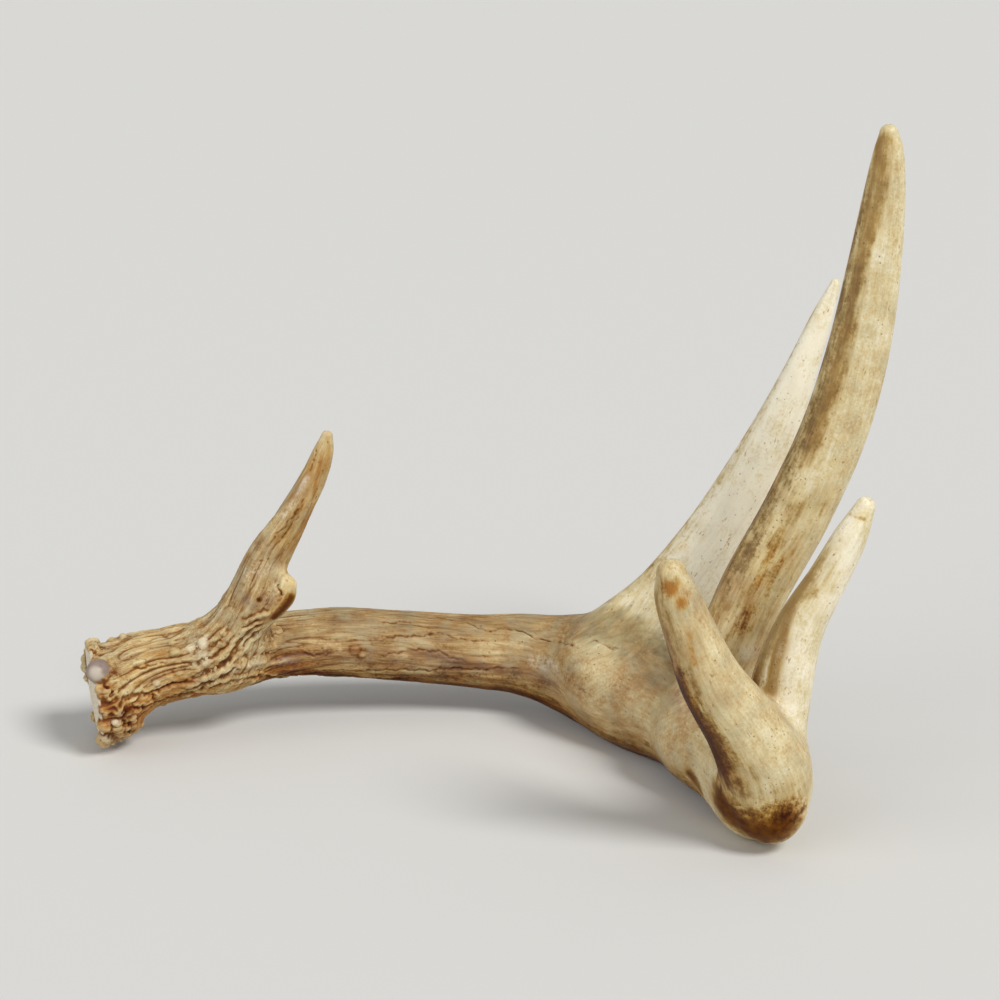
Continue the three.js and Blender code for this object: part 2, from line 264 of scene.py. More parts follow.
stainAndPaintedLightMarks = [  # colour, half width, amount and way of each mark: stains, painted shade and painted highlights
    ("mauve", 2.5, 0.7, [(306, 655), (318, 655), (330, 653)]),
    ("mauve", 2.4, 0.6, [(360, 656), (374, 656)]), ("mauve", 2.6, 0.6, [(384, 655), (400, 656)]),
    ("mauve", 3.4, 0.8, [(412, 656), (430, 655), (450, 658)]),
    ("mauve", 3.0, 0.8, [(455, 662), (475, 666), (500, 668)]),
    ("rust", 1.6, 0.5, [(340, 675), (380, 676), (430, 676), (480, 678)]),
    ("olive", 11.0, 0.85, [(600, 622), (625, 632), (645, 640)]),
    ("mauve", 6.0, 0.45, [(676, 690), (682, 705)]), ("rust", 3.4, 1.0, [(671, 588)]),
    ("rust", 2.6, 0.75, [(682, 603)]), ("rust", 1.7, 0.5, [(688, 635), (691, 650), (694, 665)]),
    ("brown", 0.9, 0.6, [(850, 514), (856, 517), (864, 519)]), ("mauve", 5.0, 0.5, [(738, 620)]),
    ("rust", 1.7, 0.7, [(320, 462), (316, 480), (313, 500)]),
    ("dark", 2.8, 0.4, [(300, 508), (288, 524), (276, 540)]),
    ("rust", 2.2, 0.6, [(317, 500), (305, 530), (293, 552)]),
    ("pale", 1.7, 0.5, [(306, 478), (296, 500), (284, 515)]),
    ("mauve", 5.0, 0.6, [(252, 602), (268, 598)]), ("dark", 1.2, 1.0, [(259, 600)]),
    # the dark line along the lower edge under the spur is painted shade
    ("dark", 2.4, 0.9, [(292, 598), (286, 608), (276, 618)]),
    ("rust", 3.2, 0.9, [(106, 686), (108, 705)]), ("rust", 3.2, 0.8, [(104, 722), (110, 730)]),
    ("rust", 3.0, 0.7, [(122, 728)]), ("dark", 2.6, 0.7, [(122, 714), (130, 714)]),
    ("rust", 4.5, 0.45, [(140, 680)]), ("rust", 5.0, 0.4, [(176, 676)]),
    ("pale", 4.0, 0.5, [(200, 660)]), ("rust", 4.5, 0.45, [(222, 650)]),
    # the pale spots on the tops of the burr's pearls, here and at (115, 738) below, are rubbed pale bone with
    # painted highlight
    ("pale", 3.0, 0.9, [(106, 738)]), ("pale", 2.2, 0.8, [(130, 739)]),
    ("pale", 2.0, 0.9, [(115, 722)]), ("pale", 3.0, 1.0, [(203, 643)]),
    ("pale", 2.4, 0.6, [(190, 648)]), ("pale", 2.2, 0.7, [(157, 683)]),
    ("rust", 2.6, 0.8, [(355, 650), (362, 655)]), ("mauve", 5.0, 0.6, [(786, 818), (800, 812)]),
    ("brown", 3.2, 1.1, [(790, 608), (782, 640), (774, 668), (771, 690)]),
    ("brown", 3.4, 0.7, [(798, 597), (812, 590)]), ("pale", 3.6, 0.7, [(115, 738)]),
    # the pale line down the fourth tine is a painted highlight
    ("pale", 5.0, 0.8, [(800, 630), (795, 655), (792, 680), (790, 705)]),
    ("rust", 4.5, 0.55, [(762, 582)]), ("brown", 4.0, 0.7, [(727, 607)]),
    ("pale", 5.0, 0.5, [(748, 650)]), ("rust", 4.5, 0.3, [(682, 545)]),
    ("brown", 4.4, 0.85, [(880, 142), (877, 175), (873, 212), (867, 236)]),
    ("pale", 4.0, 0.45, [(250, 573), (263, 571), (276, 569)]), ("pale", 3.0, 0.35, [(326, 433)]),
    ("rust", 4.0, 0.5, [(327, 450)]),
    ("pale", 2.6, 0.3, [(196, 684), (220, 673), (250, 665), (280, 663), (300, 660)]),
    # the dark and brown marks along the lower edge of the web and the bend are stain with painted shade where
    # they rest near the floor
    ("pale", 4.0, 0.45, [(535, 664), (556, 668)]), ("dark", 4.0, 0.7, [(690, 775), (700, 790)]),
    ("dark", 9.0, 1.0, [(720, 800), (730, 814), (743, 827), (758, 834), (773, 832), (784, 824)]),
    ("brown", 14.0, 0.5, [(724, 792), (745, 812), (770, 817), (788, 808)]),
]


def linearColour(code):
    parts = [int(code[i:i + 2], 16) / 255 for i in (1, 3, 5)]
    return (*[p / 12.92 if p <= 0.04045 else ((p + 0.055) / 1.055) ** 2.4 for p in parts], 1.0)


def node(tree, kind, settings=None, inputs=None):
    made = tree.nodes.new(kind)
    for name, value in (settings or {}).items():
        setattr(made, name, value)
    for key, value in (inputs or {}).items():
        if isinstance(value, bpy.types.NodeSocket):
            tree.links.new(value, made.inputs[key])
        else:
            made.inputs[key].default_value = value
    return made


def adder(tree):
    # adds a shader node to the tree, and gives back one of its outputs
    def add(kind, inputs, output=0, **settings):
        return node(tree, "ShaderNode" + kind, settings, inputs).outputs[output]
    return add


eased = {"interpolation_type": "SMOOTHSTEP"}  # for values that ease in and out


# Lines and distances are all in mm.
def smoothLine(stations, step):
    rows = np.array(stations, float)
    rows[:, :3] -= boxCentre
    rows = np.vstack([2 * rows[0] - rows[1], rows, 2 * rows[-1] - rows[-2]])
    parts, places = [], []
    for index in range(1, len(rows) - 2):
        quad = rows[index - 1:index + 3]
        gaps = [math.sqrt(np.linalg.norm((b - a)[:3])) for a, b in zip(quad, quad[1:])]  # centripetal knots
        k = np.concatenate([[0.0], np.cumsum(gaps)])
        count = max(2, round(np.linalg.norm((quad[2] - quad[1])[:3]) / step))
        share = np.linspace(0, 1, count, endpoint=False)
        t = (k[1] + (k[2] - k[1]) * share)[:, None]
        a = [((k[i + 1] - t) * quad[i] + (t - k[i]) * quad[i + 1]) / (k[i + 1] - k[i]) for i in range(3)]
        b = [((k[i + 2] - t) * a[i] + (t - k[i]) * a[i + 1]) / (k[i + 2] - k[i]) for i in range(2)]
        parts.append(((k[2] - t) * b[0] + (t - k[1]) * b[1]) / (k[2] - k[1]))
        places.append(index - 1 + share)
    return np.vstack([*parts, rows[-2:-1]]), np.concatenate([*places, [len(stations) - 1]])


def layOut(shape):
    rows, places = smoothLine(shape["stations"], meshDetail["lineStep"])
    centre = rows[:, :3]
    tangent = np.gradient(centre, axis=0)
    tangent /= np.linalg.norm(tangent, axis=1)[:, None]
    first = []
    axis = np.array(shape["axis"], float)
    for direction in tangent:  # the first axis is carried along the line without twisting
        axis = axis - axis @ direction * direction
        axis /= np.linalg.norm(axis)
        first.append(axis)
    first = np.array(first)
    steps = np.linalg.norm(np.diff(centre, axis=0), axis=1)
    return {
        **shape, "centre": centre, "tangent": tangent, "first": first, "second": np.cross(tangent, first),
        "half": np.maximum(rows[:, 3:5], 1.0) / 2, "along": np.concatenate([[0.0], np.cumsum(steps)]),
        "places": places,
    }


def grainLine(name):
    count, turns, first = grainTurns[name]
    rows = [station[:3] for station in mainBeam["stations"][:count]]
    rows += turns
    rows += [station[:3] for station in branches[name]["stations"][first:]]
    return layOut({"axis": mainBeam["axis"], "stations": [(*row, 2, 2) for row in rows]})


def grainPlace(points, line):
    # place in the bent frame of a line: across it, across it the other way, and along it
    centre = line["centre"]
    index = nearestRow(points, centre)
    offset = points - centre[index]
    local = [(offset * line[key][index]).sum(1) for key in ("first", "second", "tangent")]
    return np.stack([local[0], local[1], local[2] + line["along"][index]], 1)


def nearestRow(points, centre):
    index = np.empty(len(points), int)
    size = (centre ** 2).sum(1)[None]
    for low in range(0, len(points), 20000):
        index[low:low + 20000] = (size - 2 * points[low:low + 20000] @ centre.T).argmin(1)
    return index


def measure(points, branch):
    centre = branch["centre"]
    index = nearestRow(points, centre)
    offset = points - centre[index]
    slide = (offset * branch["tangent"][index]).sum(1)
    over = np.where(index == len(centre) - 1, np.maximum(slide, 0), 0)  # past an end of the line
    over += np.where(index == 0, np.minimum(slide, 0), 0)
    along = branch["along"][index] + slide - over
    half = np.stack([np.interp(along, branch["along"], branch["half"][:, i]) for i in (0, 1)], 1)
    offset = offset - (slide - over)[:, None] * branch["tangent"][index]
    first = (offset * branch["first"][index]).sum(1)
    second = (offset * branch["second"][index]).sum(1)
    size = np.sqrt(first ** 2 + second ** 2 + over ** 2) + 1e-6
    rho = np.sqrt((first / half[:, 0]) ** 2 + (second / half[:, 1]) ** 2 + (over / half.min(1)) ** 2) + 1e-6
    return size - size / rho, along, np.arctan2(second, first)


def smoothMin(a, b, width):
    blend = np.clip(width - np.abs(a - b), 0, None) / width
    return np.minimum(a, b) - blend ** 2 * width / 4


def sealDistance(points):
    beam = lines["beam"]
    offset = points - beam["centre"][0]
    depth = offset @ beam["tangent"][0]
    side = (offset ** 2).sum(1) - depth ** 2
    return -depth + side / (2 * burrRim["sealBulge"]) - burrRim["sealOut"]


def pearlBalls():
    rng = np.random.default_rng(burrRim["seed"])
    beam = lines["beam"]
    centres = [sights[spot] for _, spot in rimLobes]
    radii = [radius for radius, _ in rimLobes]
    for along, count, radius in burrRim["rows"]:
        for k in range(count):
            angle = (k + rng.uniform(-burrRim["jitter"], burrRim["jitter"])) / count * math.tau
            low = max(0.0, -math.cos(angle))  # 1 underneath, 0 on top
            reach = max(along + rng.uniform(-burrRim["stray"], burrRim["stray"]), burrRim["nearest"])
            row = np.searchsorted(beam["along"], reach)
            direction = math.cos(angle) * beam["first"][row] + math.sin(angle) * beam["second"][row]
            half = beam["half"][row]
            rim = 1 / math.hypot(math.cos(angle) / half[0], math.sin(angle) / half[1])
            size = radius * rng.uniform(*burrRim["sizes"]) * (1 + burrRim["lowGrowth"] * low)
            out = rim + size * rng.uniform(*burrRim["outs"])
            centres.append(beam["centre"][row] + direction * out)
            radii.append(size)
    return np.array(centres), np.array(radii)


def bigPearlBall():
    big, beam = burrRim["bigPearl"], lines["beam"]
    angle = math.radians(big["angle"])
    direction = math.cos(angle) * beam["first"][0] + math.sin(angle) * beam["second"][0]
    return beam["centre"][0] + beam["tangent"][0] * big["along"] + direction * big["out"], big["radius"]


def nearBurr(points):
    middle = lines["beam"]["centre"][burrRim["middle"]]
    return np.linalg.norm(points - middle, axis=1) < burrRim["reach"]


def pearlDistance(points):
    centres, radii = pearlSet
    melt = burrRim["pearlMelt"]
    gaps = np.linalg.norm(points[:, None] - centres[None], axis=2) - radii[None]
    nearest = gaps.min(1)
    return nearest - melt * np.log(np.exp(-(gaps - nearest[:, None]) / melt).sum(1))


def branchDistances(points):
    far, reach = 60.0, 45.0  # the distance to a branch that is out of reach
    found = {}
    for name, line in lines.items():
        low = line["centre"].min(0) - reach
        high = line["centre"].max(0) + reach
        near = ((points > low) & (points < high)).all(1)
        values = [np.full(len(points), far), np.zeros(len(points)), np.zeros(len(points))]
        if near.any():
            for whole, part in zip(values, measure(points[near], line)):
                whole[near] = part
        found[name] = values
    return found


def fieldAt(points, pearls=True):
    found = branchDistances(points)
    total = found["beam"][0]
    for name in ("second", "third", "point", "fourth", "brow", "spur"):
        total = smoothMin(total, found[name][0], lines[name]["fillet"])
    total = -smoothMin(-total, -sealDistance(points), burrRim["sealEdge"])
    if pearls:
        near = nearBurr(points)
        total[near] = smoothMin(total[near], pearlDistance(points[near]), burrRim["melt"])
        centre, radius = bigPearl
        ball = np.linalg.norm(points[near] - centre, axis=1) - radius
        total[near] = smoothMin(total[near], ball, burrRim["bigPearl"]["melt"])
    return total


# The bare form: tubes, melted together and drawn onto the smooth field.
def tubeMesh():
    points, faces = [], []
    sides = meshDetail["tubeSides"]
    for line in lines.values():
        rows = list(range(0, len(line["centre"]), 2))
        if rows[-1] != len(line["centre"]) - 1:
            rows.append(len(line["centre"]) - 1)
        start = len(points)
        for row in rows:
            for side in range(sides):
                turn = side / sides * math.tau
                x, y = math.cos(turn) * line["half"][row, 0], math.sin(turn) * line["half"][row, 1]
                points.append(line["centre"][row] + x * line["first"][row] + y * line["second"][row])
        tip = line["centre"][-1] + line["tangent"][-1] * line["half"][-1].min()
        points += [line["centre"][0], tip]
        for side in range(sides):
            nextSide = (side + 1) % sides
            faces.append((start + nextSide, start + side, len(points) - 2))
            for ring in range(len(rows) - 1):
                a, b = start + ring * sides, start + (ring + 1) * sides
                faces.append((a + side, a + nextSide, b + nextSide, b + side))
            last = start + (len(rows) - 1) * sides
            faces.append((last + side, last + nextSide, len(points) - 1))
    mesh = bpy.data.meshes.new("tubes")
    mesh.from_pydata(np.array(points) * mm, [], faces)
    return mesh


def applied(mesh, *modifiers):
    holder = bpy.data.objects.new("working", mesh)
    bpy.context.scene.collection.objects.link(holder)
    for kind, settings in modifiers:
        modifier = holder.modifiers.new(kind.title(), kind)
        for name, value in settings.items():
            setattr(modifier, name, value)
    result = bpy.data.meshes.new_from_object(holder.evaluated_get(bpy.context.evaluated_depsgraph_get()))
    bpy.data.objects.remove(holder)
    return result


def readPoints(mesh):
    values = np.empty(len(mesh.vertices) * 3, np.float32)
    mesh.vertices.foreach_get("co", values)
    return values.reshape(-1, 3).astype(float) / mm


def writePoints(mesh, points):
    mesh.vertices.foreach_set("co", (points * mm).astype(np.float32).ravel())
    mesh.update()


def readNormals(mesh):
    values = np.empty(len(mesh.vertices) * 3, np.float32)
    mesh.vertex_normals.foreach_get("vector", values)
    return values.reshape(-1, 3).astype(float)


def drawOnto(mesh, rounds, pearls):
    for _ in range(rounds):
        points = readPoints(mesh)
        step = np.clip(fieldAt(points, pearls), -meshDetail["longestStep"], meshDetail["longestStep"])
        writePoints(mesh, points - readNormals(mesh) * step[:, None])


def edgeEnds(mesh):
    edges = np.empty(len(mesh.edges) * 2, int)
    mesh.edges.foreach_get("vertices", edges)
    edges = edges.reshape(-1, 2)
    ends = np.concatenate([edges, edges[:, ::-1]])
    return ends[:, 0], ends[:, 1], np.bincount(ends[:, 0], minlength=len(mesh.vertices))[:, None]


def averaged(points, ends, rounds, share=1.0):
    start, stop, counts = ends
    for _ in range(rounds):
        around = np.stack([np.bincount(start, points[stop, i], len(points)) for i in range(3)], 1) / counts
        points = points + share * (around - points)
    return points


def riseOf(mesh, ends, rounds):
    # how far each point stands above the average of what is round it
    points = readPoints(mesh)
    return ((points - averaged(points, ends, rounds)) * readNormals(mesh)).sum(1)


def smoothFolds(mesh, ends, folded):
    # where the skin folds over itself, it and what touches it is drawn to its surroundings
    start, stop, _ = ends
    for _ in range(2):
        folded = folded | (np.bincount(start, folded[stop], len(folded)) > 0)
    points = readPoints(mesh)
    points[folded] = averaged(points, ends, 2)[folded]
    writePoints(mesh, points)


def bareAntler():
    remesh = {"mode": "VOXEL", "voxel_size": meshDetail["voxel"] * mm, "use_smooth_shade": True}
    mesh = applied(tubeMesh(), ("REMESH", remesh))
    print("melted", len(mesh.vertices))
    for _ in range(2):
        drawOnto(mesh, meshDetail["projectRounds"], False)
        writePoints(mesh, averaged(readPoints(mesh), edgeEnds(mesh), meshDetail["relaxRounds"], 0.5))
    drawOnto(mesh, 1, False)
    mesh = applied(mesh, ("SUBSURF", {"levels": 1, "render_levels": 1}))
    drawOnto(mesh, 1, False)
    ends = edgeEnds(mesh)
    plainRise = riseOf(mesh, ends, cavitySizes["wideRounds"])
    drawOnto(mesh, 3, True)
    for _ in range(meshDetail["foldRounds"]):
        normals = readNormals(mesh)
        smoothFolds(mesh, ends, (normals * averaged(normals, ends, 3)).sum(1) < meshDetail["bareFold"])
    print("bare antler", len(mesh.vertices))
    return mesh, ends, plainRise


# What the surface is told: its grain, roughness, tone, stains and painted light, and what was carved.
cavitySizes = {"fineRounds": 5, "wideRounds": 30}
blending = {"branch": 2.6, "grain": 8.0}  # mm over which branches share tone and stains, and grain


def setFloat(mesh, name, values):
    layer = mesh.attributes.new(name, "FLOAT", "POINT")
    layer.data.foreach_set("value", values.astype(np.float32))


def setVector(mesh, name, values):
    layer = mesh.attributes.new(name, "FLOAT_VECTOR", "POINT")
    layer.data.foreach_set("vector", values.astype(np.float32).ravel())


def smoothStep(values, low, high):
    share = np.clip((values - low) / (high - low), 0, 1)
    return share * share * (3 - 2 * share)


sighting = {  # mm, but share is a share of the gap that is left
    "before": 350.0, "steps": 400, "share": 0.8, "shortest": 0.05, "longest": 20.0, "probe": 0.1, "settle": 4,
}


def cameraPlace():
    tilt = math.radians(view["elevation"])
    back = np.array([0.0, -math.cos(tilt), math.sin(tilt)]) * view["distance"]
    return np.array(view["target"]) - boxCentre + back


def sighted(spots):
    # the places on the smooth surface that the camera sees at each x, y, or passes by closest
    tilt = math.radians(view["elevation"])
    x, y = (np.array(spots, float) - view["picture"] / 2).T
    upward = np.array([0.0, math.sin(tilt), math.cos(tilt)])
    forward = np.array([0.0, math.cos(tilt), -math.sin(tilt)])
    ways = view["focal"] * forward + x[:, None] * np.array([1.0, 0.0, 0.0]) - y[:, None] * upward
    ways /= np.linalg.norm(ways, axis=1)[:, None]
    reach = np.full(len(spots), view["distance"] - sighting["before"])
    best, nearest = reach.copy(), np.full(len(spots), 1e9)
    for _ in range(sighting["steps"]):
        gap = fieldAt(cameraPlace() + ways * reach[:, None], False)
        closer = (gap < nearest) & (nearest > sighting["shortest"])
        best[closer], nearest[closer] = reach[closer], gap[closer]
        reach = reach + np.clip(gap * sighting["share"], sighting["shortest"], sighting["longest"])
    points = cameraPlace() + ways * best[:, None]
    probes = np.eye(3) * sighting["probe"]
    for _ in range(sighting["settle"]):  # onto the surface
        value = fieldAt(points, False)
        slope = np.stack([fieldAt(points + step, False) - value for step in probes], 1)
        slope /= sighting["probe"]
        slope /= np.linalg.norm(slope, axis=1)[:, None] + 1e-6
        points = points - slope * value[:, None]
    return points


def sightMarks():
    spots = {spot for marks in (rimLobes, handPearls) for *_, spot in marks}
    spots = sorted(spots | {spot for marks in (carvedLines, stainAndPaintedLightMarks) for *_, way in marks for spot in way})
    return dict(zip(spots, sighted(spots)))


def onSurface(way):
    return np.array([sights[spot] for spot in way])


carving = {  # heights and wobble in mm, the lip in half widths of its line
    "limits": (-1.3, 1.7), "wobble": 0.35, "taper": (-0.02, 0.16), "fall": 1.4, "reach": 4,
    "lip": 0.3, "lipPlace": 2.0, "lipWidth": 0.8, "pearlRound": 0.6,
}


def wobbled(points):
    x, y, z = points.T
    shift = [np.sin(0.9 * y + 1.3 * z) + 0.6 * np.sin(2.3 * z - 1.1 * x + 1), np.sin(1.1 * z + 0.8 * x + 2),
             np.sin(0.8 * x + 1.2 * y + 4) + 0.6 * np.sin(2.1 * x + 1.9 * y)]
    return points + carving["wobble"] * np.stack(shift, 1)


def toWay(points, way):
    # distance to a broken line, and how far along it the nearest place is, from 0 to 1
    if len(way) == 1:
        return np.linalg.norm(points - way[0], axis=1), np.full(len(points), 0.5)
    best, share = np.full(len(points), 1e9), np.zeros(len(points))
    steps = np.linalg.norm(np.diff(way, axis=0), axis=1)
    starts = np.concatenate([[0.0], np.cumsum(steps)])
    for a, b, size, start in zip(way, way[1:], steps, starts):
        t = np.clip((points - a) @ (b - a) / size ** 2, 0, 1)
        distance = np.linalg.norm(points - a - t[:, None] * (b - a), axis=1)
        nearer = distance < best
        best = np.where(nearer, distance, best)
        share = np.where(nearer, (start + t * size) / starts[-1], share)
    return best, share


def nearWay(points, way, reach):
    return np.flatnonzero(((points > way.min(0) - reach) & (points < way.max(0) + reach)).all(1))


def carvedByHand(points):
    # each line is a furrow or a ridge with a low lip along both its sides
    height = np.zeros(len(points))
    for width, depth, way in carvedLines:
        way = onSurface(way)
        near = nearWay(points, way, width * carving["reach"])
        distance, share = toWay(wobbled(points[near]), way)
        taper = smoothStep(np.minimum(share, 1 - share), *carving["taper"])
        profile = np.exp(-carving["fall"] * (distance / width) ** 2)
        beside = (distance / width - carving["lipPlace"]) / carving["lipWidth"]
        profile -= carving["lip"] * np.exp(-beside ** 2)
        height[near] += depth * taper * profile
    for radius, rise, spot in handPearls:
        distance = np.linalg.norm(points - sights[spot], axis=1)
        height += rise * np.clip(1 - (distance / radius) ** 2, 0, 1) ** carving["pearlRound"]
    return np.clip(height, *carving["limits"])


# how a mark fades to its sides and ends, and how many half widths a listed mark reaches
stainFade = {"fall": 0.8, "start": 14, "before": 22, "past": 12, "reach": 2.6}


def markedStainsAndLight(points):
    stainsAndPaintedLight = {name: np.zeros(len(points)) for name in stainAndPaintedLightNames}
    for name, width, amount, way in stainAndPaintedLightMarks:
        way = onSurface(way)
        near = nearWay(points, way, width * stainFade["reach"])
        distance = toWay(points[near], way)[0]
        share = amount * np.exp(-stainFade["fall"] * (distance / width) ** 2)
        stainsAndPaintedLight[name][near] = np.maximum(stainsAndPaintedLight[name][near], share)
    return stainsAndPaintedLight


def stainAndShadeAt(shape, colour, along, angle):
    total = np.zeros(len(along))
    degrees = np.degrees(angle) % 360
    for name, middle, spread, start, end, amount in shape["stainsAndPaintedLight"]:
        if name != colour:
            continue
        away = np.abs((degrees - middle + 180) % 360 - 180)
        side = np.exp(-stainFade["fall"] * (away / spread) ** 2)
        fade = smoothStep(along, start - stainFade["start"], start + stainFade["start"])
        fade *= 1 - smoothStep(along, end - stainFade["before"], end + stainFade["past"])
        total = np.maximum(total, side * fade * amount)
    return total


sealLook = {  # where each look fades in mm, and the big pearl's side that faces the camera, which is painted pale as a highlight
    "seal": (0.5, 1.3), "pearls": (0.2, 0.8), "polish": (0.15, 0.6),
    "highlightSide": (-0.1, -0.97, 0.2), "highlightFrom": 0.6, "pearlHighlight": 0.6,
}


def markSeal(mesh, points):
    onSeal = 1 - smoothStep(-sealDistance(points), *sealLook["seal"])
    seal = onSeal.copy()
    seal[onSeal > 0] *= smoothStep(pearlDistance(points[onSeal > 0]), *sealLook["pearls"])
    centre, radius = bigPearl
    away = points - centre
    low, high = sealLook["polish"]
    polish = 1 - smoothStep(np.linalg.norm(away, axis=1), radius + low, radius + high)
    side = away @ np.array(sealLook["highlightSide"]) / radius
    # painted highlight: the big pearl is mixed towards pale on the side that faces the camera
    setFloat(mesh, "pearlHighlight", sealLook["pearlHighlight"] * smoothStep(side, sealLook["highlightFrom"], 1.0))
    setFloat(mesh, "seal", seal * (1 - polish))
    setFloat(mesh, "polish", polish)


def describe(mesh):
    points = readPoints(mesh)
    found = branchDistances(points)
    names = list(lines)
    distances = np.stack([found[name][0] for name in names], 1)
    order = distances.argsort(1)
    rows = np.arange(len(points))
    lead, other = order[:, 0], order[:, 1]
    gap = distances[rows, other] - distances[rows, lead]
    share = np.exp(-(distances - distances[rows, lead][:, None]) / blending["branch"])
    share /= share.sum(1)[:, None]
    byBurr = np.flatnonzero(nearBurr(points))
    balls = pearlDistance(points[byBurr])
    onPearls, pearlFade = 0.6, 1.4  # how much roughness the pearls keep, and over how many mm it comes back
    for key in ("rough", "tone"):
        values = np.stack([np.interp(found[n][1], *np.array(lines[n][key]).T) for n in names], 1)
        values = (values * share).sum(1)
        if key == "rough":  # the pearls of the rim stay round
            values[byBurr] *= onPearls + (1 - onPearls) * smoothStep(balls, 0.0, pearlFade)
        setFloat(mesh, key, values)
    marks = markedStainsAndLight(points)
    for name, values in marks.items():
        soaked = np.stack([stainAndShadeAt(lines[n], name, found[n][1], found[n][2]) for n in names], 1)
        setFloat(mesh, name, np.maximum(values, (soaked * share).sum(1)))
    setFloat(mesh, "carved", carvedByHand(points))
    grain = np.stack([grainPlace(points, grainLine(n)) for n in names], 1)
    setVector(mesh, "grain", grain[rows, lead])
    setVector(mesh, "otherGrain", grain[rows, other])
    setFloat(mesh, "forkMix", 0.5 * (1 - smoothStep(gap, 0, blending["grain"])))
    markSeal(mesh, points)
    print("described")
    # the owner says which piece a point belongs to: the beam is shared out by its place
    place = np.interp(found["beam"][1], lines["beam"]["along"], lines["beam"]["places"])
    beamPiece = np.where(place < browForkEnd, 0, np.where(place < secondForkStart, 1, 2))
    return np.where(lead == 0, beamPiece, lead + 2)


# Relief: ridges, furrows and pearls that follow the grain.
reliefSizes = {  # mm
    "Ridge spacing": 6.0, "Ridge height": 1.6, "Braid spacing": 2.4, "Braid height": 0.6,
    "Pearl spacing": 2.7, "Pearl height": 0.6, "Fine spacing": 0.95, "Fine height": 0.18, "Flute height": 0.8,
    "Wander": 4.5,
}


def reliefLayers():
    tree = bpy.data.node_groups.new("antlerGrainRelief", "GeometryNodeTree")
    add = adder(tree)
    face = tree.interface
    face.new_socket("Grain", in_out="INPUT", socket_type="NodeSocketVector")
    face.new_socket("Rough", in_out="INPUT", socket_type="NodeSocketFloat")
    for name, value in reliefSizes.items():
        face.new_socket(name, in_out="INPUT", socket_type="NodeSocketFloat").default_value = value
    face.new_socket("Height", in_out="OUTPUT", socket_type="NodeSocketFloat")
    ins = node(tree, "NodeGroupInput").outputs
    grain, rough = ins["Grain"], ins["Rough"]

    def stretched(place, spacing, lengthen):
        # grain coordinates in units of the pattern, longer along the branch
        wide = add("Math", {0: 1.0, 1: spacing}, operation="DIVIDE")
        along = add("Math", {0: wide, 1: lengthen}, operation="DIVIDE")
        scale = add("CombineXYZ", {0: wide, 1: wide, 2: along})
        return add("VectorMath", {0: place, 1: scale}, operation="MULTIPLY")

    def pattern(place, spacing, lengthen, detail=1.0, output=0):
        vector = stretched(place, spacing, lengthen)
        return add("TexNoise", {"Vector": vector, "Scale": 1.0, "Detail": detail}, output)

    def rounded(value, sharpness):
        # V grooves between round-topped ridges
        steps = (("SUBTRACT", 0.5), ("ABSOLUTE", 0.0), ("MULTIPLY", sharpness), ("MINIMUM", 1.0))
        for operation, other in steps:
            value = add("Math", {0: value, 1: other}, operation=operation)
        fall = add("Math", {0: 1.0, 1: value}, operation="SUBTRACT")
        square = add("Math", {0: fall, 1: fall}, operation="MULTIPLY")
        return add("Math", {0: 1.0, 1: square}, operation="SUBTRACT")

    shift = pattern(grain, 13.0, 1.7, output="Color")
    shift = add("VectorMath", {0: shift, 1: (0.5, 0.5, 0.5)}, operation="SUBTRACT")
    shift = add("VectorMath", {0: shift, "Scale": ins["Wander"]}, operation="SCALE")
    warped = add("VectorMath", {0: grain, 1: shift}, operation="ADD")
    cells = {"Vector": stretched(warped, ins["Pearl spacing"], 1.35), "Scale": 1.0, "Randomness": 0.9}
    near = add("TexVoronoi", cells, "Distance", feature="F1")
    near = add("Math", {0: near, 1: 1.5}, operation="MULTIPLY")
    square = add("Math", {0: near, 1: near}, operation="MULTIPLY")
    pearl = add("Math", {0: 1.0, 1: square}, operation="SUBTRACT")
    pearl = add("Math", {0: pearl, 1: 0.0}, operation="MAXIMUM")
    pearl = add("Math", {0: pearl}, operation="SQRT")
    patches = pattern(grain, 9.0, 1.6)
    patchy = add("MapRange", {"Value": patches, "From Min": 0.46, "From Max": 0.6}, **eased)
    uneven = add("Math", {0: patchy, 1: 0.7, 2: 0.5}, operation="MULTIPLY_ADD")
    finely = add("Math", {0: rough, 1: 0.06}, operation="ADD")
    layers = (  # each pattern, its middle, its height and what else it is multiplied by
        (rounded(pattern(warped, ins["Ridge spacing"], 10.0), 5.0), 0.85, "Ridge height", [rough]),
        (rounded(pattern(warped, ins["Braid spacing"], 9.0), 4.5), 0.75, "Braid height", [uneven, rough]),
        (pearl, 0.45, "Pearl height", [patchy, rough, rough]),
        (rounded(pattern(warped, ins["Fine spacing"], 7.0), 4.0), 0.6, "Fine height", [finely]),
        (pattern(grain, 8.0, 11.0, 0.0), 0.5, "Flute height", []),
    )
    height = 0.0
    for value, middle, size, shares in layers:
        part = add("Math", {0: value, 1: middle}, operation="SUBTRACT")
        for share in [ins[size], *shares]:
            part = add("Math", {0: part, 1: share}, operation="MULTIPLY")
        height = add("Math", {0: height, 1: part}, operation="ADD")
    node(tree, "NodeGroupOutput", None, {"Height": height})
    return tree


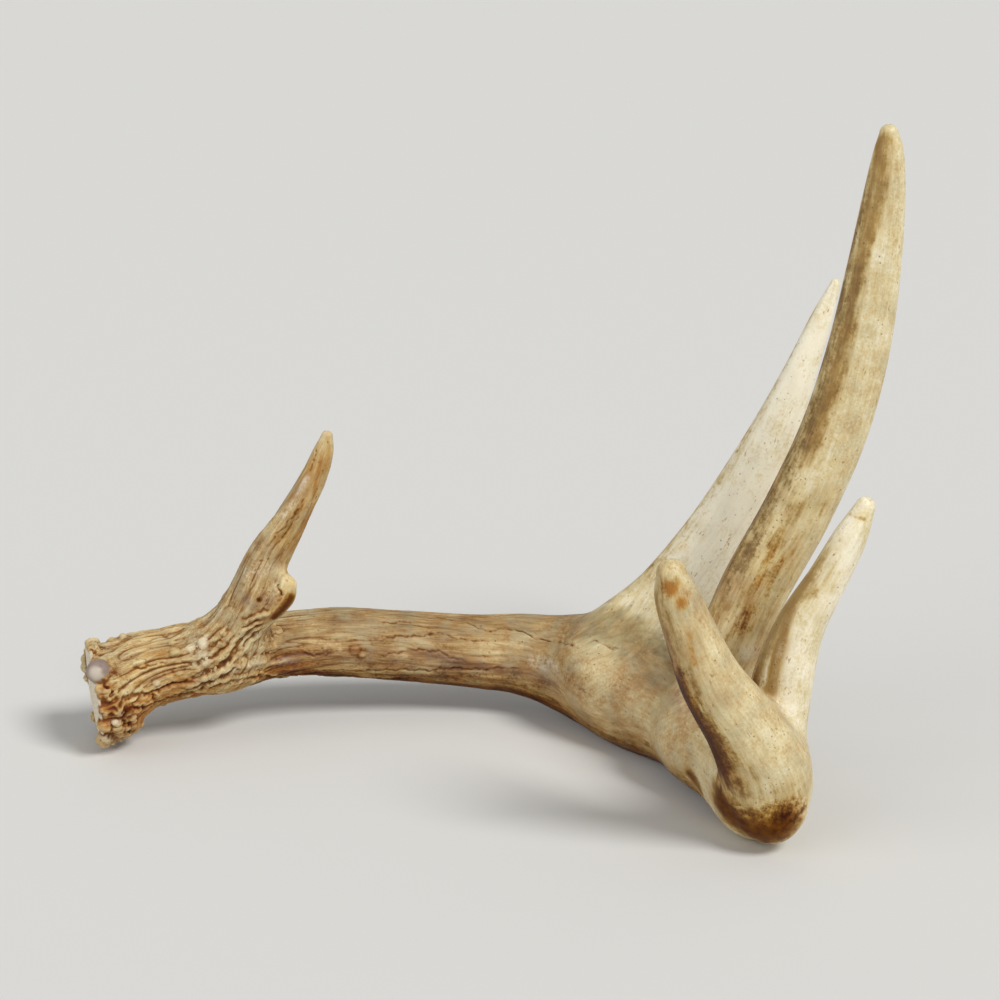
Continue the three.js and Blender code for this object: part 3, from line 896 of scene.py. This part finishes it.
def reliefTree(material):
    layers = reliefLayers()
    tree = bpy.data.node_groups.new("antlerRelief", "GeometryNodeTree")
    add = adder(tree)
    face = tree.interface
    face.new_socket("Geometry", in_out="INPUT", socket_type="NodeSocketGeometry")
    for name, value in reliefSizes.items():
        face.new_socket(name, in_out="INPUT", socket_type="NodeSocketFloat").default_value = value
    face.new_socket("Geometry", in_out="OUTPUT", socket_type="NodeSocketGeometry")
    start = node(tree, "NodeGroupInput")
    read = {}
    for name in ("grain", "otherGrain", "rough", "forkMix", "carved", "seal", "polish"):
        settings = {"data_type": "FLOAT_VECTOR" if name in ("grain", "otherGrain") else "FLOAT"}
        reader = node(tree, "GeometryNodeInputNamedAttribute", settings, {"Name": name})
        read[name] = reader.outputs["Attribute"]
    sizes = {name: start.outputs[name] for name in reliefSizes}
    heights = []
    for grain in ("grain", "otherGrain"):
        told = {"Grain": read[grain], "Rough": read["rough"], **sizes}
        heights.append(node(tree, "GeometryNodeGroup", {"node_tree": layers}, told).outputs[0])
    height = add("Mix", {0: read["forkMix"], 2: heights[0], 3: heights[1]}, data_type="FLOAT")
    height = add("Math", {0: height, 1: read["carved"]}, operation="ADD")
    height = add("Math", {0: height, 1: -1.5, 2: 0.8}, operation="SMOOTH_MAX")
    plain = add("Math", {0: read["seal"], 1: read["polish"]}, operation="MAXIMUM")
    ridged = add("Math", {0: 1.0, 1: plain}, operation="SUBTRACT")
    height = add("Math", {0: height, 1: ridged}, operation="MULTIPLY")
    # the seal is granular
    crumb = add("TexNoise", {"Vector": read["grain"], "Scale": 0.8, "Detail": 3.0, "Roughness": 0.7})
    for operation, other in (("SUBTRACT", 0.5), ("MULTIPLY", 1.3), ("MULTIPLY", read["seal"])):
        crumb = add("Math", {0: crumb, 1: other}, operation=operation)
    height = add("Math", {0: height, 1: crumb}, operation="ADD")
    inMetres = add("Math", {0: height, 1: mm}, operation="MULTIPLY")
    normal = node(tree, "GeometryNodeInputNormal").outputs[0]
    push = add("VectorMath", {0: normal, "Scale": inMetres}, operation="SCALE")
    moving = {"Geometry": start.outputs["Geometry"], "Offset": push}
    moved = node(tree, "GeometryNodeSetPosition", None, moving)
    whole = node(tree, "GeometryNodeRealizeInstances", None, {"Geometry": moved.outputs[0]})
    dress = {"Geometry": whole.outputs[0], "Material": material}
    dressed = node(tree, "GeometryNodeSetMaterial", None, dress)
    node(tree, "NodeGroupOutput", None, {"Geometry": dressed.outputs[0]})
    return tree


def carvedMesh(mesh, material, ends, plainRise):
    plainNormals = readNormals(mesh)
    holder = bpy.data.objects.new("working", mesh)
    bpy.context.scene.collection.objects.link(holder)
    modifier = holder.modifiers.new("Relief", "NODES")
    modifier.node_group = reliefTree(material)
    sockets = modifier.node_group.interface.items_tree
    ids = {item.name: item.identifier for item in sockets if item.in_out == "INPUT"}
    for name, value in reliefSizes.items():
        modifier[ids[name]] = value
    result = bpy.data.meshes.new_from_object(holder.evaluated_get(bpy.context.evaluated_depsgraph_get()))
    holder.modifiers.clear()
    bpy.data.objects.remove(holder)
    for _ in range(meshDetail["foldRounds"]):
        smoothFolds(result, ends, (readNormals(result) * plainNormals).sum(1) < meshDetail["carvedFold"])
    points = readPoints(result)
    points[:, 2] = np.maximum(points[:, 2], 0.0)  # what rests on the ground is worn flat
    writePoints(result, points)
    setFloat(result, "fineRise", riseOf(result, ends, cavitySizes["fineRounds"]))
    setFloat(result, "wideRise", riseOf(result, ends, cavitySizes["wideRounds"]) - plainRise)
    return result


boneColours = {
    "umber": "#5a3915", "brown": "#86602f", "tan": "#b3925f", "cream": "#d8c798", "ivory": "#f2ead2",
    "grey": "#aca384", "seal": "#d9cfba", "pearl": "#8d7a70",
}
stainAndShadeTints = {  # what the bone's own colour is multiplied by, for stains and for painted shade
    "olive": "#c3beb0", "mauve": "#b69c98", "brown": "#b19461", "rust": "#d09b54", "dark": "#7a4f17",
    # groove and deep darken the hollows: tannin stain, with painted shade in the deepest
    "groove": "#b58a57", "deep": "#5e3a1a",
}
stainAndPaintedLightNames = ("brown", "dark", "rust", "mauve", "olive", "pale")


boneNoises = {  # length along the grain (0 for none), size in mm, detail and roughness
    "cloud": (0, 15.0, 2.0, 0.55), "blotch": (0, 4.5, 4.0, 0.62), "speck": (0, 1.2, 3.0, 0.65),
    "streak": (11.0, 1.5, 3.0, 0.6), "line": (14.0, 0.55, 2.0, 0.6), "greying": (0, 9.0, 3.0, 0.55),
    "soaking": (6.0, 3.2, 4.0, 0.6), "fleck": (3.0, 0.9, 1.0, 0.55), "flecked": (0, 7.0, 2.0, 0.55),
}
toneSwings = (  # a noise, the roughness where it is full, and its amount on smooth and on rough bone
    ("cloud", 1.0, 0.6, 0.6), ("streak", 0.6, 0.3, 0.65), ("line", 0.7, 0.15, 0.6),
    ("blotch", 1.0, 0.45, 0.45), ("speck", 1.0, 0.45, 0.45),
)


def antlerBone():
    # Antler bone, weathered: furrows hold dark tannin stain with painted shade in the hollows, ridge tops and
    # tips are rubbed pale and satin
    material = bpy.data.materials.new("antlerBone")
    material.use_nodes = True
    tree = material.node_tree
    tree.nodes.clear()
    add = adder(tree)
    colours = {name: linearColour(code) for name, code in boneColours.items()}
    tints = {name: linearColour(code) for name, code in stainAndShadeTints.items()}
    names = ("tone", "rough", "fineRise", "wideRise", "seal", "polish", "pearlHighlight", *stainAndPaintedLightNames)
    read = {name: add("Attribute", {}, "Fac", attribute_name=name) for name in names}
    grain = add("Attribute", {}, "Vector", attribute_name="grain")
    inMm = add("Mapping", {"Vector": add("TexCoord", {}, "Object"), "Scale": (1000, 1000, 1000)})
    rough, noise = read["rough"], {}
    for name, (lengthen, size, detail, ragged) in boneNoises.items():
        place = inMm
        if lengthen:
            place = add("Mapping", {"Vector": grain, "Scale": (1.0, 1.0, 1 / lengthen)})
        told = {"Vector": place, "Scale": 1 / size, "Detail": detail, "Roughness": ragged}
        noise[name] = add("TexNoise", told)

    def swung(value, name, amount):
        # a value that a noise swings up and down
        centred = add("Math", {0: noise[name], 1: 0.5}, operation="SUBTRACT")
        return add("Math", {0: centred, 1: amount, 2: value}, operation="MULTIPLY_ADD")

    def laid(base, colour, value, low, high, most=1.0, blend="MIX"):
        # a colour laid on the base, more of it as a value rises from low to high
        share = add("MapRange", {"Value": value, "From Min": low, "From Max": high, "To Max": most}, **eased)
        return add("Mix", {0: share, 6: base, 7: colour}, 2, data_type="RGBA", blend_type=blend)

    tone = read["tone"]
    for name, full, smooth, ridged in toneSwings:
        told = {"Value": rough, "From Max": full, "To Min": smooth, "To Max": ridged}
        tone = swung(tone, name, add("MapRange", told, **eased))
    ramp = node(tree, "ShaderNodeValToRGB", None, {0: tone})
    stops = ramp.color_ramp.elements
    stops[0].position, stops[0].color = 0.0, colours["umber"]
    stops[1].position, stops[1].color = 1.0, colours["ivory"]
    for place, name in ((0.2, "brown"), (0.46, "tan"), (0.74, "cream")):
        stops.new(place).color = colours[name]
    greyed = add("MapRange", {"Value": tone, "From Min": 0.45, "To Min": 0.5, "To Max": 0.1}, **eased)
    base = laid(ramp.outputs[0], colours["grey"], noise["greying"], 0.42, 0.68, greyed)
    # stains, and the painted shade and painted highlights laid with them, soak in along the grain, and break
    # up into streaks and blotches
    soak = swung(swung(swung(0.0, "soaking", 1.5), "blotch", 1.1), "speck", 0.9)
    for name in ("olive", "mauve", "brown", "rust", "dark", "pale"):
        held = read[name]
        most = 0.5 if name == "dark" else 1.0
        told = {"Value": held, "From Min": 0.5, "From Max": 1.2, "To Min": most, "To Max": 0.45 * most}
        full = add("MapRange", told, **eased)
        broken = add("MapRange", {"Value": held, "From Max": 0.35, "To Max": full}, **eased)
        share = add("Math", {0: broken, 1: soak, 2: held}, operation="MULTIPLY_ADD")
        # pale is bone rubbed pale, and in places a painted highlight
        if name == "pale":
            base = laid(base, colours["ivory"], share, 0.05, 1.05, 0.6)
        else:  # the tint to the power of the stain's depth, so that a thin stain keeps its colour
            depth = add("MapRange", {"Value": share, "From Min": 0.05}, **eased)
            depth = add("Math", {0: depth, 1: 1.5}, operation="POWER")
            tint = add("Gamma", {0: tints[name], 1: depth})
            base = add("Mix", {0: 1.0, 6: base, 7: tint}, 2, data_type="RGBA", blend_type="MULTIPLY")
    # small flecks of stain, long along the grain
    told = {"Value": noise["flecked"], "From Min": 0.5, "From Max": 0.66, "To Min": 0.08, "To Max": 0.75}
    flecked = add("MapRange", told, **eased)
    base = laid(base, tints["groove"], noise["fleck"], 0.62, 0.72, flecked, "MULTIPLY")
    # what lies low is stained and darkened with painted shade, most in the deepest hollows; what stands proud
    # is rubbed pale
    rise = add("Math", {0: read["fineRise"], 1: 1.5, 2: read["wideRise"]}, operation="MULTIPLY_ADD")
    sunk = add("Math", {0: 0.0, 1: rise}, operation="SUBTRACT")
    base = laid(base, tints["groove"], sunk, -0.15, 0.9, 1.0, "MULTIPLY")
    base = laid(base, tints["deep"], sunk, 0.8, 2.4, 1.0, "MULTIPLY")
    rubbed = add("MapRange", {"Value": rough, "From Min": 0.05, "From Max": 0.5, "To Max": 0.4}, **eased)
    base = laid(base, colours["cream"], rise, 0.15, 1.3, rubbed)
    # pores
    cells = add("TexVoronoi", {"Vector": inMm, "Scale": 1 / 3.0, "Randomness": 1.0}, "Distance")
    cloudy = add("MapRange", {"Value": noise["cloud"], "From Min": 0.42, "From Max": 0.6}, **eased)
    told = {"Value": cells, "From Min": 0.06, "From Max": 0.17, "To Min": cloudy, "To Max": 0.0}
    pore = add("MapRange", told, **eased)
    share = add("Math", {0: pore, 1: 0.6}, operation="MULTIPLY")
    base = add("Mix", {0: share, 6: base, 7: tints["deep"]}, 2, data_type="RGBA", blend_type="MULTIPLY")
    sealed = laid(colours["tan"], colours["seal"], noise["speck"], 0.3, 0.5)
    base = add("Mix", {0: read["seal"], 6: base, 7: sealed}, 2, data_type="RGBA")
    # the big pearl's colour, with its painted highlight on the camera side
    shine = add("Mix", {0: read["pearlHighlight"], 6: colours["pearl"], 7: colours["seal"]}, 2, data_type="RGBA")
    base = add("Mix", {0: read["polish"], 6: base, 7: shine}, 2, data_type="RGBA")

    gloss = add("MapRange", {"Value": rough, "From Max": 0.6, "To Min": 0.36, "To Max": 0.62}, **eased)
    gloss = add("Math", {0: noise["blotch"], 1: 0.14, 2: gloss}, operation="MULTIPLY_ADD")
    dull = add("MapRange", {"Value": sunk, "From Min": -0.15, "From Max": 0.9, "To Max": 0.15}, **eased)
    gloss = add("Math", {0: gloss, 1: dull}, operation="ADD")
    gloss = add("Mix", {0: read["polish"], 2: gloss, 3: 0.46}, data_type="FLOAT")
    lined = add("MapRange", {"Value": rough, "From Max": 0.7, "To Min": 0.1, "To Max": 0.8}, **eased)
    reliefs = ((noise["speck"], 0.34), (noise["streak"], 0.3), (noise["line"], lined), (pore, -0.3))
    height = 0.0
    for value, amount in reliefs:
        height = add("Math", {0: value, 1: amount, 2: height}, operation="MULTIPLY_ADD")
    matt = add("Math", {0: 1.0, 1: read["polish"]}, operation="SUBTRACT")
    height = add("Math", {0: height, 1: matt}, operation="MULTIPLY")
    darkness = add("Math", {0: read["dark"], 1: 1.0}, operation="MINIMUM")
    sheen = add("Math", {0: darkness, 1: -0.26, 2: 0.32}, operation="MULTIPLY_ADD")
    bump = add("Bump", {"Height": height, "Distance": 0.6 * mm, "Strength": 0.7})
    shader = node(tree, "ShaderNodeBsdfPrincipled", None, {
        "Base Color": base, "Roughness": gloss, "Normal": bump, "IOR": 1.54,
        "Specular IOR Level": sheen})
    node(tree, "ShaderNodeOutputMaterial", None, {0: shader.outputs[0]})
    return material


def paleFloor():
    # Matte painted board
    material = bpy.data.materials.new("matteFloorPaint")
    material.use_nodes = True
    shader = material.node_tree.nodes["Principled BSDF"]
    shader.inputs["Base Color"].default_value = linearColour("#d3d1cc")
    shader.inputs["Roughness"].default_value = 0.85
    return material


# The one bone is split where the part is split, and keeps the shading of the whole.
pieceNames = [
    ("base_beam", "burr_bone"), ("middle_beam", "beam_bone"), ("upper_beam", "beam_bone"),
    ("beam_point", "tine_bone"), ("brow_tine", "brow_bone"), ("brow_spur", "brow_bone"),
    ("second_tine", "tine_bone"), ("third_tine", "tine_bone"), ("fourth_tine", "tine_bone"),
]


voteRounds = 24


def faceCorners(mesh):
    corners = np.empty(len(mesh.loops), int)
    mesh.loops.foreach_get("vertex_index", corners)
    totals = np.empty(len(mesh.polygons), int)
    mesh.polygons.foreach_get("loop_total", totals)
    return corners.reshape(-1, 4), totals


def openLoops(faces):
    edges = np.concatenate([faces[:, [i, (i + 1) % 4]] for i in range(4)])
    keys = {(a, b) for a, b in edges.tolist()}
    leaving = {}  # a point where two openings touch has more than one edge leaving it
    for a, b in sorted(keys):
        if (b, a) not in keys:
            leaving.setdefault(b, []).append(a)
    loops = []
    for start in sorted(leaving):
        while leaving[start]:
            loop, current = [start], leaving[start].pop()
            while current != start:
                loop.append(current)
                current = leaving[current].pop()
            loops.append(loop)
    return loops


def settledLabels(faces, owner):
    # each face takes the owner that most of its surroundings have, so that no stray faces are left
    label = np.sort(owner[faces], axis=1)[:, 1]
    edges = np.sort(np.concatenate([faces[:, [i, (i + 1) % 4]] for i in range(4)]), axis=1)
    key = edges[:, 0] * (faces.max() + 1) + edges[:, 1]
    order = key.argsort(kind="stable")
    key, holder = key[order], (np.arange(len(key)) % len(faces))[order]
    same = np.flatnonzero(key[1:] == key[:-1])
    a = np.concatenate([holder[same], holder[same + 1], np.arange(len(faces))])
    b = np.concatenate([holder[same + 1], holder[same], np.arange(len(faces))])
    for _ in range(voteRounds):
        votes = np.bincount(a * len(pieceNames) + label[b], minlength=len(faces) * len(pieceNames))
        label = votes.reshape(-1, len(pieceNames)).argmax(1)
    return largestPatches(label, a[:-len(faces)], b[:-len(faces)])


def largestPatches(label, a, b):
    # each piece keeps its largest patch, and small ones go to what lies round them
    beside = [[] for _ in range(len(label))]
    same = label[a] == label[b]
    for one, other in zip(a[same].tolist(), b[same].tolist()):
        beside[one].append(other)
    patch, sizes = np.full(len(label), -1), []
    for start in range(len(label)):
        if patch[start] >= 0:
            continue
        patch[start] = len(sizes)
        waiting, size = [start], 0
        while waiting:
            face = waiting.pop()
            size += 1
            for other in beside[face]:
                if patch[other] < 0:
                    patch[other] = len(sizes)
                    waiting.append(other)
        sizes.append(size)
    sizes, kept = np.array(sizes), np.zeros(len(sizes), bool)
    for index in range(len(pieceNames)):
        own = np.unique(patch[label == index])
        kept[own[sizes[own].argmax()]] = True
    settledFaces = kept[patch]
    edge = ~settledFaces[a] & settledFaces[b]
    while edge.any():
        label[a[edge]] = label[b[edge]]
        settledFaces[a[edge]] = True
        edge = ~settledFaces[a] & settledFaces[b]
    return label


def pointLayers(mesh):
    layers = {}
    for layer in mesh.attributes:
        named = layer.domain == "POINT" and layer.name != "position"
        if named and layer.data_type in ("FLOAT", "FLOAT_VECTOR"):
            width = 1 if layer.data_type == "FLOAT" else 3
            values = np.empty(len(mesh.vertices) * width, np.float32)
            layer.data.foreach_get("value" if width == 1 else "vector", values)
            layers[layer.name] = values.reshape(-1, width)
    return layers


def splitAntler(mesh, owner, material):
    faces, totals = faceCorners(mesh)
    assert (totals == 4).all()
    points, normals = readPoints(mesh), readNormals(mesh)
    label = settledLabels(faces, owner)
    layers = pointLayers(mesh)
    for index, (name, slot) in enumerate(pieceNames):
        chosen = faces[label == index]
        used, local = np.unique(chosen, return_inverse=True)
        local = local.reshape(-1, 4)
        polygons = local.tolist()
        extra, picks = [], used.tolist()
        for loop in openLoops(local):
            extra.append(points[used[loop]].mean(0))
            picks.append(int(used[loop[0]]))
            centre = len(used) + len(extra) - 1
            polygons += [(loop[i], loop[(i + 1) % len(loop)], centre) for i in range(len(loop))]
        piecePoints = np.vstack([points[used], *[e[None] for e in extra]])
        piece = bpy.data.meshes.new(name)
        piece.from_pydata(piecePoints * mm, [], polygons)
        for key, values in layers.items():
            part = values[picks]
            if part.shape[1] == 1:
                setFloat(piece, key, part[:, 0])
            else:
                setVector(piece, key, part)
        piece.shade_smooth()
        piece.normals_split_custom_set_from_vertices(normals[picks])
        piece.materials.append(material)
        made = bpy.data.objects.new("antler_" + name, piece)
        bpy.context.scene.collection.objects.link(made)
        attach(made, "root")
        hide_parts(name)
        print("piece", name, len(polygons), "open loops", len(extra))


light = {"key": 2.35, "fill": 0.85, "sky": 0.5}


def setStage():
    bpy.ops.mesh.primitive_plane_add(size=9.0)
    floor = bpy.context.object
    floor.name = "studio_floor"
    floor.data.materials.append(paleFloor())
    for name, place, spread, strength in (
        ("keyLight", (0.6, -0.55, 0.9), 20, light["key"]),
        ("fillLight", (-0.9, -0.6, 0.5), 50, light["fill"]),
    ):
        lamp = bpy.data.lights.new(name, "SUN")
        lamp.angle = math.radians(spread)
        lamp.energy = strength
        holder = bpy.data.objects.new(name, lamp)
        holder.location = place
        holder.rotation_euler = (-holder.location).to_track_quat("-Z", "Y").to_euler()
        bpy.context.scene.collection.objects.link(holder)
    world = bpy.data.worlds.new("softRoom")
    world.use_nodes = True
    back = world.node_tree.nodes["Background"]
    back.inputs["Color"].default_value = linearColour("#e8ebef")
    back.inputs["Strength"].default_value = light["sky"]
    bpy.context.scene.world = world
    bpy.context.scene.view_settings.view_transform = "Standard"


def setCamera():
    tilt = math.radians(view["elevation"])
    camera = bpy.data.cameras.new("camera")
    camera.sensor_width = 36.0
    camera.lens = camera.sensor_width * view["focal"] / view["picture"]
    holder = bpy.data.objects.new("camera", camera)
    holder.location = cameraPlace() * mm
    holder.rotation_euler = (math.pi / 2 - tilt, 0, 0)
    bpy.context.scene.collection.objects.link(holder)
    bpy.context.scene.camera = holder


setCamera()
setStage()
lines = {name: layOut(shape) for name, shape in branches.items()}
sights = sightMarks()
print("marks placed", len(sights))
pearlSet = pearlBalls()
bigPearl = bigPearlBall()
bone = antlerBone()
bare, bareEnds, bareRise = bareAntler()
owner = describe(bare)
whole = carvedMesh(bare, bone, bareEnds, bareRise)
print("carved", len(whole.vertices))
splitAntler(whole, owner, bone)
